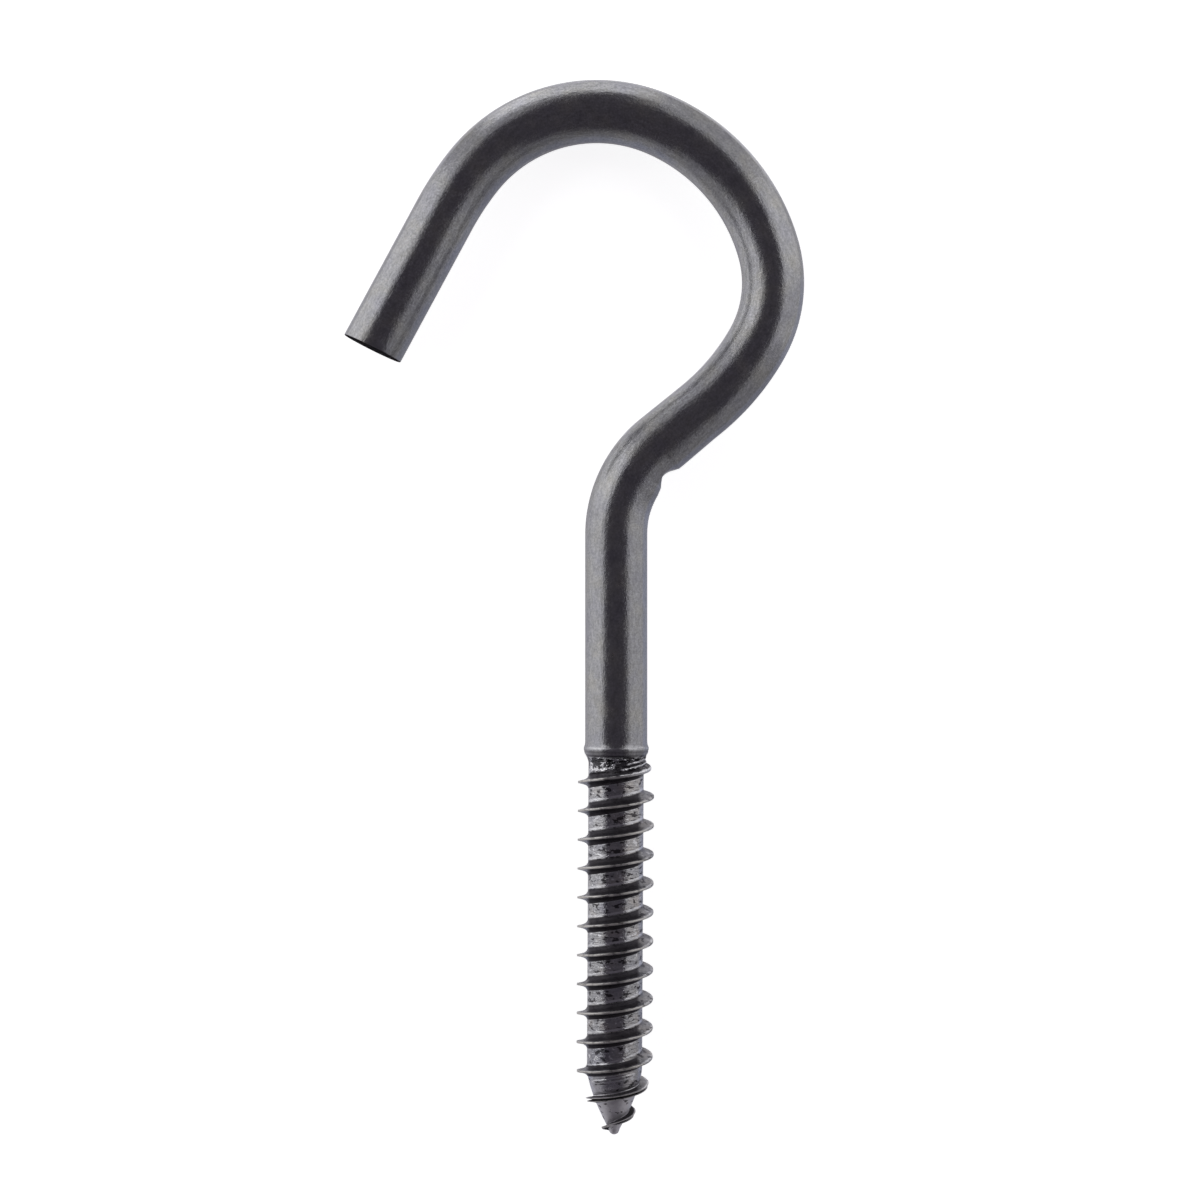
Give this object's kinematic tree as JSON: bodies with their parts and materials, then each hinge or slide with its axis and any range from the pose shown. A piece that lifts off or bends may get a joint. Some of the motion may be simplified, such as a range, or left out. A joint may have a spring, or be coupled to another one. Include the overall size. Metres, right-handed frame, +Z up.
{
  "type": "screw hook",
  "caption": "Round steel wire bent into an open hook, with a rolled lag thread and a blunt-tipped point for screwing into wood.",
  "frame": {"origin": "on the screw's axis at the shoulder, where the wire steps down to the thread's core; the hook lies on its side, so the surface it rests on is below the origin", "axes": "+Y from the tip along the screw towards the bow, tipped down by 0.6 degrees so that thread and bow both touch the surface; +X to the side where the bow swings out, its free leg and mouth on -X; +Z up"},
  "size_m": [0.0434, 0.1001, 0.0075],
  "materials": {
    "blackened_steel": "blackened steel wire, satin with a fine grain, burnished on the thread's crests"
  },
  "bodies": {
    "root": {"screw_hook": "blackened_steel"}
  },
  "joints": []
}
